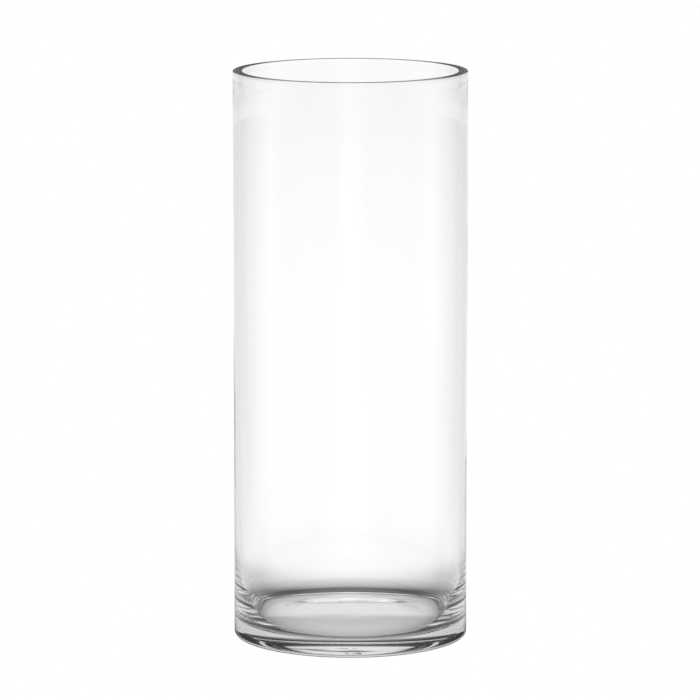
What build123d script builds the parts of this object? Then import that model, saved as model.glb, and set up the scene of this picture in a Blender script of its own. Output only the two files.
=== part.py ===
from build123d import *
import math
import os

# A clear glass cylinder vase, blown as one piece of glass: a straight outer wall, an
# open mouth with a flat ground rim, a wall that thins below the rim and thickens
# towards the bottom, and a heavy base that is hollowed a little underneath.
# Sizes are in millimetres. The origin is the centre of the foot, on the surface that
# the vase stands on, and +Z is up, out of the mouth.

# overall
outer_diameter = 125.0
height = 305.0

# rim: the flat face that was ground after the blowing cap was cut off
rim_wall = 5.15  # width of the glass at the rim
rim_outer_arris = 0.6  # rounding of the rim's outer edge
rim_inner_arris = 0.4  # rounding of the rim's inner edge
mouth_land = 2.0  # straight inner wall just below the rim

# wall thickness on the way down, as (height above the foot, thickness)
wall_stations = [
    (299.0, 4.85),
    (287.0, 3.55),
    (270.0, 2.95),
    (190.0, 2.9),
    (110.0, 3.1),
    (60.0, 3.5),
    (40.0, 3.9),
    (26.0, 5.0),
]
wall_at_corner = 8.6  # thickness where the wall turns into the floor
corner_lean = 24.0  # degrees that the inner wall leans in by there

# base
floor_thickness = 8.0
inner_corner = 5.5  # radius between the wall and the floor
heel = 2.0  # radius of the outer bottom edge
hollow_radius = 40.0  # the concave middle of the underside
hollow_depth = 1.2

outer_radius = outer_diameter / 2
mouth_radius = outer_radius - rim_wall
corner_radius = outer_radius - wall_at_corner

# the corner's arc starts where the wall leans in, and ends flat on the floor
lean = math.radians(corner_lean)
corner_center = (corner_radius - inner_corner * math.cos(lean), floor_thickness + inner_corner)
corner_top = corner_center[1] - inner_corner * math.sin(lean)


def foot_outline():
    # from the axis out along the underside and round the heel
    curvature_radius = (hollow_radius**2 + hollow_depth**2) / (2 * hollow_depth)
    hollow = RadiusArc((hollow_radius, 0), (0, hollow_depth), -curvature_radius)
    contact_ring = Line((hollow_radius, 0), (outer_radius - heel, 0))
    heel_arc = CenterArc((outer_radius - heel, heel), heel, -90, 90)
    return [hollow, contact_ring, heel_arc]


def rim_outline():
    # the outer wall, the flat rim with its two rounded edges, and the mouth's land
    outer_arris_foot = height - rim_outer_arris
    inner_arris_foot = height - rim_inner_arris
    outer_wall = Line((outer_radius, heel), (outer_radius, outer_arris_foot))
    outer_arris = CenterArc((outer_radius - rim_outer_arris, outer_arris_foot), rim_outer_arris, 0, 90)
    flat = Line((outer_radius - rim_outer_arris, height), (mouth_radius + rim_inner_arris, height))
    inner_arris = CenterArc((mouth_radius + rim_inner_arris, inner_arris_foot), rim_inner_arris, 90, 90)
    land = Line((mouth_radius, inner_arris_foot), (mouth_radius, height - mouth_land))
    return [outer_wall, outer_arris, flat, inner_arris, land]


def inside_outline():
    # down the inner wall, round the corner and in to the middle of the floor
    points = [(mouth_radius, height - mouth_land)]
    points += [(outer_radius - thickness, z) for z, thickness in wall_stations]
    points.append((corner_radius, corner_top))
    wall = Spline(*points, tangents=[(0, -1), (-math.sin(lean), -math.cos(lean))])
    corner = CenterArc(corner_center, inner_corner, -corner_lean, corner_lean - 90)
    floor = Line((corner_center[0], floor_thickness), (0, floor_thickness))
    axis = Line((0, floor_thickness), (0, hollow_depth))
    return [wall, corner, floor, axis]


def glass_vase():
    # the section stands in the XZ plane and is turned once about Z
    section = make_face(Wire(foot_outline() + rim_outline() + inside_outline()))
    vase = revolve(Plane.XZ * section, axis=Axis.Z)
    vase.label = "glass_vase"
    vase.color = Color(0.93, 0.95, 0.95, 0.35)
    return vase


os.makedirs("parts", exist_ok=True)
vase = glass_vase()
export_step(vase, "parts/glass_vase.step")
print(f"glass_vase {vase.volume / 1000:.1f} cm3, {vase.volume * 2.5e-6:.2f} kg of glass")
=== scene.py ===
import math
import bpy
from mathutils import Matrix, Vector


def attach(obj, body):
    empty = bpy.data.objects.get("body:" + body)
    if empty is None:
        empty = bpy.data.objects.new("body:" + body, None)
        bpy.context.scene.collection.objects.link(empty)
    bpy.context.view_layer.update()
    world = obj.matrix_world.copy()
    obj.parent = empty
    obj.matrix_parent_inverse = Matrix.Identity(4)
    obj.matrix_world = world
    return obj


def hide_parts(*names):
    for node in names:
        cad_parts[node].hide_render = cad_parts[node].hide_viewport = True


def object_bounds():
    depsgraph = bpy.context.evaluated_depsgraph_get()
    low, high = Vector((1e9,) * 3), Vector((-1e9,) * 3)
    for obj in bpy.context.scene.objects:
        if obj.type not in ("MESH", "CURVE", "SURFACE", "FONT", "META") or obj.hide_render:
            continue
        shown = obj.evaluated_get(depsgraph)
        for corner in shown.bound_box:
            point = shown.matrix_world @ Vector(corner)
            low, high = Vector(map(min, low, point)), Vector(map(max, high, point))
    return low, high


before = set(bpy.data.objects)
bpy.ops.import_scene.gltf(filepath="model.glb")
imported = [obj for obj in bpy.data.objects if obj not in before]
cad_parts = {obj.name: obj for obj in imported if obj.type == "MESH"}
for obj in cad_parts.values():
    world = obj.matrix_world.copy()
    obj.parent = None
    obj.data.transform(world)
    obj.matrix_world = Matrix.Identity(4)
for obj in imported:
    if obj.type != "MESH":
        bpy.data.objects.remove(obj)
cadLow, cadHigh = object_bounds()
mm = 0.001
onAxis = 1e-6  # mm
print("frame loaded, vase is", round(cadHigh.z - cadLow.z, 3), "m tall")

# glass outline, in millimetres; the outside comes from the frame
vaseShape = {
    "rimWall": 5.15,  # width of the ground face
    "outerArris": 0.6,  # softened edges of the rim
    "innerArris": 0.4,
    "mouthLand": 2.0,  # straight bit under the rim
    # thickness of the wall on the way down, as (height, thickness)
    "wall": [
        (299.0, 4.85), (287.0, 3.55), (270.0, 2.95), (190.0, 2.9),
        (110.0, 3.1), (60.0, 3.5), (40.0, 3.9), (26.0, 5.0),
    ],
    "wallAtCorner": 8.6,
    "floorThickness": 8.0,
    "cornerLean": 24.0,  # degrees from upright where the corner starts
    "innerCorner": 5.5,
    "heel": 2.0,
    "hollowRadius": 40.0,
    "hollowDepth": 1.2,
    # points along each stretch of the outline, and round the vase
    "around": 720,
    "hollowSteps": 60,
    "heelSteps": 20,
    "outsideSteps": 120,
    "outerArrisSteps": 10,
    "innerArrisSteps": 8,
    "wallSteps": 260,
    "cornerSteps": 60,
    "floorSteps": 50,
}

# how far hot glass strayed from round, in millimetres
blownWaves = {
    "wallSag": 0.05,
    "baseSag": 0.18,
    "baseHeight": 9.0,  # the base's waves die away over this height
    "floorHeight": 8.0,
    "evenMiddle": 40.0,  # and towards the middle of the floor, from this radius
    "rimKeep": 6.0,  # no waves this close to the rim
    "rimFade": 20.0,
    "wallFrom": 25.0,  # waves move the glass sideways above this height, and up and down on the floor
}


def arcPoints(centre, radius, startDeg, endDeg, steps):
    angles = [math.radians(startDeg + (endDeg - startDeg) * i / steps) for i in range(steps + 1)]
    return [(centre[0] + radius * math.cos(a), centre[1] + radius * math.sin(a)) for a in angles]


def splineThrough(stations, steps, firstSlope, lastSlope):
    # smooth curve through (z, thickness) stations
    zs = [s[0] for s in stations]
    ts = [s[1] for s in stations]
    last = len(zs) - 1
    slopes = [firstSlope] + [0.0] * (last - 1) + [lastSlope]
    for i in range(1, last):
        slopes[i] = (ts[i + 1] - ts[i - 1]) / (zs[i + 1] - zs[i - 1])
    points = []
    for n in range(steps + 1):
        z = zs[0] + (zs[-1] - zs[0]) * n / steps
        i = 0
        while i < last - 1 and (z - zs[i + 1]) * (zs[-1] - zs[0]) > 0:
            i += 1
        h = zs[i + 1] - zs[i]
        t = (z - zs[i]) / h
        value = (2 * t**3 - 3 * t**2 + 1) * ts[i] + (t**3 - 2 * t**2 + t) * h * slopes[i]
        value += (3 * t**2 - 2 * t**3) * ts[i + 1] + (t**3 - t**2) * h * slopes[i + 1]
        points.append((z, value))
    return points


def vaseOutline(shape, outerRadius, height):
    # from the middle of the underside, round the outside, over the rim and down to the floor
    mouth = outerRadius - shape["rimWall"]
    bend = shape["innerCorner"]
    lean = math.radians(shape["cornerLean"])
    cornerRadius = outerRadius - shape["wallAtCorner"] - bend * math.cos(lean)
    corner = (cornerRadius, shape["floorThickness"] + bend)

    hollowCurve = (shape["hollowRadius"] ** 2 + shape["hollowDepth"] ** 2) / (2 * shape["hollowDepth"])
    hollowEdge = math.degrees(math.asin(shape["hollowRadius"] / hollowCurve))
    hollowCentre = (0, shape["hollowDepth"] - hollowCurve)
    outline = arcPoints(hollowCentre, hollowCurve, 90, 90 - hollowEdge, shape["hollowSteps"])

    heel, steps = shape["heel"], shape["outsideSteps"]
    outline += arcPoints((outerRadius - heel, heel), heel, -90, 0, shape["heelSteps"])
    arris = shape["outerArris"]
    top = height - arris
    outline += [(outerRadius, heel + (top - heel) * i / steps) for i in range(1, steps)]
    outline += arcPoints((outerRadius - arris, top), arris, 0, 90, shape["outerArrisSteps"])
    arris = shape["innerArris"]
    outline += arcPoints((mouth + arris, height - arris), arris, 90, 180, shape["innerArrisSteps"])

    stations = [(height - shape["mouthLand"], shape["rimWall"])] + shape["wall"]
    stations.append((corner[1] - bend * math.sin(lean), shape["wallAtCorner"]))
    wall = splineThrough(stations, shape["wallSteps"], 0.0, -math.tan(lean))
    outline += [(outerRadius - t, z) for z, t in wall]
    outline += arcPoints(corner, bend, -shape["cornerLean"], -90, shape["cornerSteps"])[1:]
    steps = shape["floorSteps"]
    outline += [(cornerRadius * (1 - i / steps), shape["floorThickness"]) for i in range(1, steps + 1)]
    return outline


def blownShift(r, z, angle, waves):
    # long shallow waves up the wall, stronger ones down at the base
    up = waves["wallSag"] * math.sin(2 * angle + 0.9 + z / 90) * math.cos(z / 37 + 1.3 * math.sin(angle))
    near = math.exp(-max(z - waves["floorHeight"], 0) / waves["baseHeight"])
    low = math.sin(2 * angle + 0.4) + 0.5 * math.sin(3 * angle + 2.1 + z / 14)
    low += 0.3 * math.sin(5 * angle + 0.7 + r / 12)
    return up + waves["baseSag"] * near * low * min(1, r / waves["evenMiddle"]) ** 2


def meshObject(name, verts, faces):
    mesh = bpy.data.meshes.new(name)
    mesh.from_pydata(verts, [], faces)
    mesh.update()
    thing = bpy.data.objects.new(name, mesh)
    bpy.context.scene.collection.objects.link(thing)
    return thing


def latheMesh(name, outline, around, waves, height):
    # turns the outline; only the inside, which comes after the highest point, is wavy
    verts, faces, rings = [], [], []
    insideFrom = max(range(len(outline)), key=lambda i: outline[i][1])
    for i, (r, z) in enumerate(outline):
        if r < onAxis:
            rings.append([len(verts)] * around)
            verts.append((0, 0, z * mm))
            continue
        rings.append(list(range(len(verts), len(verts) + around)))
        belowRim = height - waves["rimKeep"] - z
        fade = min(1, max(0, belowRim / waves["rimFade"])) if i > insideFrom else 0
        outward = min(1, z / waves["wallFrom"])
        for k in range(around):
            a = 2 * math.pi * k / around
            shift = fade * blownShift(r, z, a, waves)
            wavyR, wavyZ = r + shift * outward, z + shift * (1 - outward)
            verts.append((wavyR * math.cos(a) * mm, wavyR * math.sin(a) * mm, wavyZ * mm))
    for low, high in zip(rings, rings[1:]):
        for k in range(around):
            corners = [low[k], low[k - 1], high[k - 1], high[k]]
            face = [v for n, v in enumerate(corners) if v not in corners[:n]]
            if len(face) > 2:
                faces.append(face[::-1])
    piece = meshObject(name, verts, faces)
    piece.data.shade_smooth()
    return piece


def newMaterial(name):
    material = bpy.data.materials.new(name)
    material.use_nodes = True
    tree = material.node_tree
    tree.nodes.clear()
    out = tree.nodes.new("ShaderNodeOutputMaterial")
    return material, tree, out


def addNode(tree, kind, **inputs):
    node = tree.nodes.new(kind)
    for key, value in inputs.items():
        node.inputs[key.replace("_", " ")].default_value = value
    return node


glassLook = {
    "ior": 1.52,
    "absorbColour": (0.81, 0.815, 0.814, 1),
    "absorbDensity": 9.0,
    # slow waves in the polished skin; scales are per metre and depths in metres
    "clear": {"roughness": (0.0, 0.006), "scale": 26.0, "depth": 0.00002, "strength": 1.0},
    # fine grinding marks on the flat of the rim
    "ground": {"roughness": (0.13, 0.2), "scale": 900.0, "depth": 0.00002, "strength": 0.35},
    "patchScale": 0.7,  # roughness patches against the waves
    "patchRange": (0.4, 0.75),
    "groundBelowTop": 0.05,  # mm under the top that still counts as the flat
    "groundFacing": 0.9,
}


def glassMaterial(name, look, skin):
    material, tree, out = newMaterial(name)
    place = tree.nodes.new("ShaderNodeTexCoord")
    glass = addNode(tree, "ShaderNodeBsdfPrincipled", IOR=look["ior"])
    glass.inputs["Base Color"].default_value = (1, 1, 1, 1)
    glass.inputs["Transmission Weight"].default_value = 1.0

    patchScale = skin["scale"] * look["patchScale"]
    patches = addNode(tree, "ShaderNodeTexNoise", Scale=patchScale, Detail=3.0, Roughness=0.55)
    tree.links.new(place.outputs["Object"], patches.inputs["Vector"])
    spread = tree.nodes.new("ShaderNodeMapRange")
    for socket, number in zip(spread.inputs[1:5], look["patchRange"] + skin["roughness"]):
        socket.default_value = number
    tree.links.new(patches.outputs["Fac"], spread.inputs["Value"])
    tree.links.new(spread.outputs["Result"], glass.inputs["Roughness"])

    waves = addNode(tree, "ShaderNodeTexNoise", Scale=skin["scale"], Detail=2.0, Roughness=0.4)
    tree.links.new(place.outputs["Object"], waves.inputs["Vector"])
    bump = addNode(tree, "ShaderNodeBump", Strength=skin["strength"], Distance=skin["depth"])
    tree.links.new(waves.outputs["Fac"], bump.inputs["Height"])
    tree.links.new(bump.outputs["Normal"], glass.inputs["Normal"])
    tree.links.new(glass.outputs["BSDF"], out.inputs["Surface"])

    # the tint lies in the depth of the glass
    body = addNode(tree, "ShaderNodeVolumeAbsorption", Color=look["absorbColour"])
    body.inputs["Density"].default_value = look["absorbDensity"]
    tree.links.new(body.outputs["Volume"], out.inputs["Volume"])
    return material


print("building the glass")
outerRadius = (cadHigh.x - cadLow.x) / 2 / mm
height = cadHigh.z / mm
outline = vaseOutline(vaseShape, outerRadius, height)
vase = latheMesh("glass_vase_blown", outline, vaseShape["around"], blownWaves, height)
vase.data.materials.append(glassMaterial("clear blown glass", glassLook, glassLook["clear"]))
vase.data.materials.append(glassMaterial("ground rim", glassLook, glassLook["ground"]))
rimFrom = (height - glassLook["groundBelowTop"]) * mm
for face in vase.data.polygons:
    if face.center.z > rimFrom and face.normal.z > glassLook["groundFacing"]:
        face.material_index = 1
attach(vase, "root")
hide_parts("glass_vase")

# lengths in metres, angles in degrees
studio = {
    "ringPoints": 96,
    "floorReach": 6.0,
    "floorDrop": 0.00005,  # just clear of the foot
    # glow of the floor by distance from the middle of the vase: bright further out, with painted shade
    # under the vase and a painted contact shadow just round its foot
    "floorGlowAndShade": [
        (0, 0.66), (0.03, 0.74), (0.042, 0.6), (0.051, 0.28), (0.059, 0.05), (0.073, 0.05),
        (0.082, 0.52), (0.1, 0.88), (0.13, 1.01), (0.3, 1.04), (1.2, 1.04), (3.0, 0.98),
    ],
    "armCount": 4,  # the light lies in arms, and is dimmer between them
    "armDepth": 0.24,
    "armEdge": (0.03, 0.26),
    "armStart": 0.45,
    "shadowLobeDepth": 0.42,  # painted shadow lobes close in, dark halfway between the arms
    "shadowLobeSharpness": 2.0,
    "shadowLobeStart": (0.058, 0.072),
    "shadowLobeEnd": (0.10, 0.2),
    "sweepRadius": 8.0,
    "sweepDrop": 0.0002,
    "sweepSteps": 16,
    "sweepTop": 89,
    "flagRadius": 3.0,
    "flagElevation": (1, 24),
    "flagGlow": 0.2,
    "skyLobes": 0.26,  # the sky is dimmer between the arms too
    # glow of the sky by elevation
    "skyStops": [(-90, 0.98), (15, 0.98), (18, 0.06), (45, 0.06), (60, 1.0), (90, 1.6)],
}


def stageObject(name, verts, faces, material, camera, glossy, transmission):
    # the last three say which rays see it: the camera's, reflections, and rays through the glass
    thing = meshObject(name, verts, faces)
    thing.data.materials.append(material)
    thing.visible_camera = camera
    thing.visible_glossy = glossy
    thing.visible_transmission = transmission
    thing.visible_diffuse = False
    thing.visible_shadow = False
    thing.visible_volume_scatter = False


def ring(radius, z, count):
    angles = [2 * math.pi * k / count for k in range(count)]
    return [(radius * math.cos(a), radius * math.sin(a), z) for a in angles]


def band(low, high, count):
    # quads between two rings, given the first point of each
    return [[low + k, high + k, high + (k + 1) % count, low + (k + 1) % count] for k in range(count)]


def glowMaterial(name, strength):
    material, tree, out = newMaterial(name)
    glow = addNode(tree, "ShaderNodeEmission", Strength=strength)
    tree.links.new(glow.outputs["Emission"], out.inputs["Surface"])
    return material, tree, glow


def makeSweep(setup):
    # white floor running up into a white surround; only the camera sees it, never the glass,
    # and not from below
    material, tree, glow = glowMaterial("white sweep", 1.0)
    out = tree.nodes["Material Output"]
    facing = tree.nodes.new("ShaderNodeNewGeometry")
    clear = tree.nodes.new("ShaderNodeBsdfTransparent")
    mix = tree.nodes.new("ShaderNodeMixShader")
    tree.links.new(facing.outputs["Backfacing"], mix.inputs["Fac"])
    tree.links.new(glow.outputs["Emission"], mix.inputs[1])
    tree.links.new(clear.outputs["BSDF"], mix.inputs[2])
    tree.links.new(mix.outputs["Shader"], out.inputs["Surface"])
    count, steps = setup["ringPoints"], setup["sweepSteps"]
    radius, bottom = setup["sweepRadius"], -setup["sweepDrop"]
    verts = ring(radius, bottom, count)
    faces = [list(range(count))]
    for i in range(1, steps + 1):
        a = math.radians(setup["sweepTop"] * i / steps)
        verts += ring(radius * math.cos(a), bottom + radius * math.sin(a), count)
        faces += band((i - 1) * count, i * count, count)
    faces.append([steps * count + k for k in reversed(range(count))])
    stageObject("white_sweep", verts, faces, material, True, False, False)


def rampFrom(tree, stops):
    ramp = tree.nodes.new("ShaderNodeValToRGB")
    marks = ramp.color_ramp.elements
    while len(marks) > 1:
        marks.remove(marks[-1])
    brightest = max(value for _, value in stops)
    for n, (position, value) in enumerate(stops):
        mark = marks.new(position) if n else marks[0]
        mark.position = position
        mark.color = (value / brightest,) * 3 + (1,)
    return ramp, brightest


def mathNode(tree, operation, first, second=None):
    node = tree.nodes.new("ShaderNodeMath")
    node.operation = operation
    for socket, value in zip(node.inputs, (first, second)):
        if value is None:
            continue
        if isinstance(value, (int, float)):
            socket.default_value = value
        else:
            tree.links.new(value, socket)
    return node.outputs["Value"]


def smoothStep(tree, value, start, end, low, high):
    fade = tree.nodes.new("ShaderNodeMapRange")
    fade.interpolation_type = "SMOOTHSTEP"
    for socket, number in zip(fade.inputs[1:5], (start, end, low, high)):
        socket.default_value = number
    tree.links.new(value, fade.inputs["Value"])
    return fade.outputs["Result"]


def lobesAround(tree, angle, count):
    # 0 along each arm and 1 halfway to the next
    turn = mathNode(tree, "COSINE", mathNode(tree, "MULTIPLY", angle, count))
    return mathNode(tree, "MULTIPLY", mathNode(tree, "SUBTRACT", 1.0, turn), 0.5)


def makeFloor(setup):
    # pale table top as the glass sees it, hidden from the camera; dim close to the vase, where
    # the vase would shade it
    material, tree, glow = glowMaterial("pale table", 1.0)
    where = tree.nodes.new("ShaderNodeNewGeometry")
    split = tree.nodes.new("ShaderNodeSeparateXYZ")
    tree.links.new(where.outputs["Position"], split.inputs["Vector"])
    x, y = split.outputs["X"], split.outputs["Y"]
    squares = [mathNode(tree, "MULTIPLY", side, side) for side in (x, y)]
    away = mathNode(tree, "SQRT", mathNode(tree, "ADD", *squares))
    angle = mathNode(tree, "ARCTAN2", y, x)

    # square root spreads the near stops out, where the painted shade of the vase lies
    reach = setup["floorReach"]
    place = mathNode(tree, "SQRT", mathNode(tree, "DIVIDE", away, reach))
    stops = [(math.sqrt(r / reach), value) for r, value in setup["floorGlowAndShade"]]
    ramp, brightest = rampFrom(tree, stops)
    tree.links.new(place, ramp.inputs["Fac"])

    # dark lobes close to the vase: painted shadows of the vase on the floor
    lobes = mathNode(tree, "POWER", lobesAround(tree, angle, setup["armCount"]), setup["shadowLobeSharpness"])
    fadeOut = smoothStep(tree, away, *setup["shadowLobeEnd"], setup["shadowLobeDepth"], 0)
    fadeIn = smoothStep(tree, away, *setup["shadowLobeStart"], 0, 1)
    lobes = mathNode(tree, "MULTIPLY", mathNode(tree, "MULTIPLY", lobes, fadeOut), fadeIn)

    # and further out, straight arms of light
    turn = mathNode(tree, "PINGPONG", angle, math.pi / setup["armCount"])
    along = mathNode(tree, "MULTIPLY", away, mathNode(tree, "COSINE", turn))
    along = mathNode(tree, "ADD", along, setup["armStart"])
    across = mathNode(tree, "MULTIPLY", away, mathNode(tree, "SINE", turn))
    slant = mathNode(tree, "DIVIDE", across, along)
    arms = smoothStep(tree, slant, *setup["armEdge"], 0, setup["armDepth"])

    shade = mathNode(tree, "SUBTRACT", 1.0, mathNode(tree, "ADD", lobes, arms))
    tree.links.new(ramp.outputs["Color"], glow.inputs["Color"])
    tree.links.new(mathNode(tree, "MULTIPLY", shade, brightest), glow.inputs["Strength"])
    count = setup["ringPoints"]
    verts = ring(reach, -setup["floorDrop"], count)
    stageObject("pale_floor", verts, [list(range(count))], material, False, True, True)


def makeFlag(setup):
    # dark card round the set, there to give the ground rim something to mirror
    material = glowMaterial("black flag", setup["flagGlow"])[0]
    radius, count = setup["flagRadius"], setup["ringPoints"]
    verts = []
    for elevation in setup["flagElevation"]:
        verts += ring(radius, radius * math.tan(math.radians(elevation)), count)
    stageObject("black_flag", verts, band(0, count, count), material, False, True, False)


def makeSky(setup):
    # bright low down and overhead, with a dim belt between
    world = bpy.data.worlds.new("studio")
    bpy.context.scene.world = world
    world.use_nodes = True
    tree = world.node_tree
    tree.nodes.clear()
    out = tree.nodes.new("ShaderNodeOutputWorld")
    back = tree.nodes.new("ShaderNodeBackground")
    tree.links.new(back.outputs["Background"], out.inputs["Surface"])
    where = tree.nodes.new("ShaderNodeTexCoord")
    split = tree.nodes.new("ShaderNodeSeparateXYZ")
    tree.links.new(where.outputs["Generated"], split.inputs["Vector"])
    level = tree.nodes.new("ShaderNodeMapRange")
    level.inputs["From Min"].default_value = -1
    level.inputs["From Max"].default_value = 1
    tree.links.new(split.outputs["Z"], level.inputs["Value"])
    heights = [math.sin(math.radians(elevation)) for elevation, _ in setup["skyStops"]]
    stops = [((up + 1) / 2, value) for up, (_, value) in zip(heights, setup["skyStops"])]
    ramp, brightest = rampFrom(tree, stops)
    tree.links.new(level.outputs["Result"], ramp.inputs["Fac"])
    tree.links.new(ramp.outputs["Color"], back.inputs["Color"])
    angle = mathNode(tree, "ARCTAN2", split.outputs["Y"], split.outputs["X"])
    lobes = mathNode(tree, "MULTIPLY", lobesAround(tree, angle, setup["armCount"]), setup["skyLobes"])
    shade = mathNode(tree, "SUBTRACT", 1.0, lobes)
    tree.links.new(mathNode(tree, "MULTIPLY", shade, brightest), back.inputs["Strength"])


print("setting the studio")
makeSweep(studio)
makeFloor(studio)
makeFlag(studio)
makeSky(studio)

print("placing the camera")
view = {
    "lens": 250.9,
    "sensor": 36,
    "distance": 2.5752,  # m from the middle of the vase
    "height": 0.5841,
    "pitch": 9.468,  # degrees down
    "aside": -0.0002,
    "farClip": 60,
}
camera = bpy.data.objects.new("camera", bpy.data.cameras.new("camera"))
bpy.context.scene.collection.objects.link(camera)
camera.data.lens = view["lens"]
camera.data.sensor_width = view["sensor"]
camera.data.clip_end = view["farClip"]
camera.location = (view["aside"], -view["distance"], view["height"])
camera.rotation_euler = (math.radians(90 - view["pitch"]), 0, 0)
bpy.context.scene.camera = camera

# clear glass needs deep light paths
paths = {"deep": 48, "transparent": 16}
scene = bpy.context.scene
scene.view_settings.view_transform = "Standard"
scene.cycles.max_bounces = paths["deep"]
scene.cycles.transmission_bounces = paths["deep"]
scene.cycles.glossy_bounces = paths["deep"]
scene.cycles.transparent_max_bounces = paths["transparent"]
scene.cycles.sample_clamp_indirect = 0
